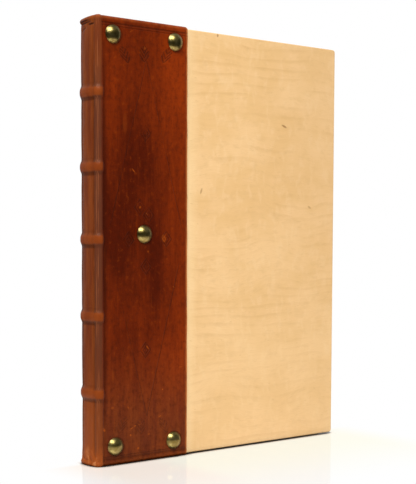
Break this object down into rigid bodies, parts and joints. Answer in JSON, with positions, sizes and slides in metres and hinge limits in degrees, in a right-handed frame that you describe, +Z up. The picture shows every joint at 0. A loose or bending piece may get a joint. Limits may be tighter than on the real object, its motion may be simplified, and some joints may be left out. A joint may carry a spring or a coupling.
{
  "type": "quarter-leather book with wooden boards",
  "caption": "Tall thin book with bare wooden boards, a red-brown leather spine with raised bands, and domed brass nails; both covers open.",
  "frame": {"origin": "bottom centre of the closed book's box, on the surface that it stands on", "axes": "+Z up from tail to head, -X towards the spine, +X towards the fore-edge, -Y out of the front board"},
  "size_m": [0.2276, 0.0292, 0.3057],
  "materials": {
    "pages": "matte, cut edges",
    "leather": "waxed satin calf",
    "board_wood": "planed, bare",
    "nail_brass": "antiqued, polished",
    "pastedown": "matte",
    "endband": "wound thread",
    "cord": "twisted linen",
    "peg_wood": "whittled"
  },
  "bodies": {
    "root": {"text_block": "pages", "spine_leather": "leather", "head_endband": "endband", "tail_endband": "endband", "raised_cord_1": "cord", "raised_cord_2": "cord", "raised_cord_3": "cord", "raised_cord_4": "cord", "raised_cord_5": "cord"},
    "front_cover": {"front_board": "board_wood", "front_leather": "leather", "front_pastedown": "pastedown", "front_laced_slip_1": "cord", "front_laced_slip_2": "cord", "front_laced_slip_3": "cord", "front_laced_slip_4": "cord", "front_laced_slip_5": "cord", "front_lacing_peg_1": "peg_wood", "front_lacing_peg_2": "peg_wood", "front_lacing_peg_3": "peg_wood", "front_lacing_peg_4": "peg_wood", "front_lacing_peg_5": "peg_wood", "front_nail_1": "nail_brass", "front_nail_2": "nail_brass", "front_nail_3": "nail_brass", "front_nail_4": "nail_brass", "front_nail_5": "nail_brass"},
    "back_cover": {"back_board": "board_wood", "back_leather": "leather", "back_pastedown": "pastedown", "back_laced_slip_1": "cord", "back_laced_slip_2": "cord", "back_laced_slip_3": "cord", "back_laced_slip_4": "cord", "back_laced_slip_5": "cord", "back_lacing_peg_1": "peg_wood", "back_lacing_peg_2": "peg_wood", "back_lacing_peg_3": "peg_wood", "back_lacing_peg_4": "peg_wood", "back_lacing_peg_5": "peg_wood", "back_nail_1": "nail_brass", "back_nail_2": "nail_brass", "back_nail_3": "nail_brass", "back_nail_4": "nail_brass", "back_nail_5": "nail_brass"}
  },
  "joints": [
    {"name": "front_cover_hinge", "type": "hinge", "parent": "root", "child": "front_cover", "pos_m": [-0.10865, -0.01, 0], "axis": [0, 0, -1], "range_deg": [0, 170]},
    {"name": "back_cover_hinge", "type": "hinge", "parent": "root", "child": "back_cover", "pos_m": [-0.10865, 0.01, 0], "axis": [0, 0, 1], "range_deg": [0, 170]}
  ]
}
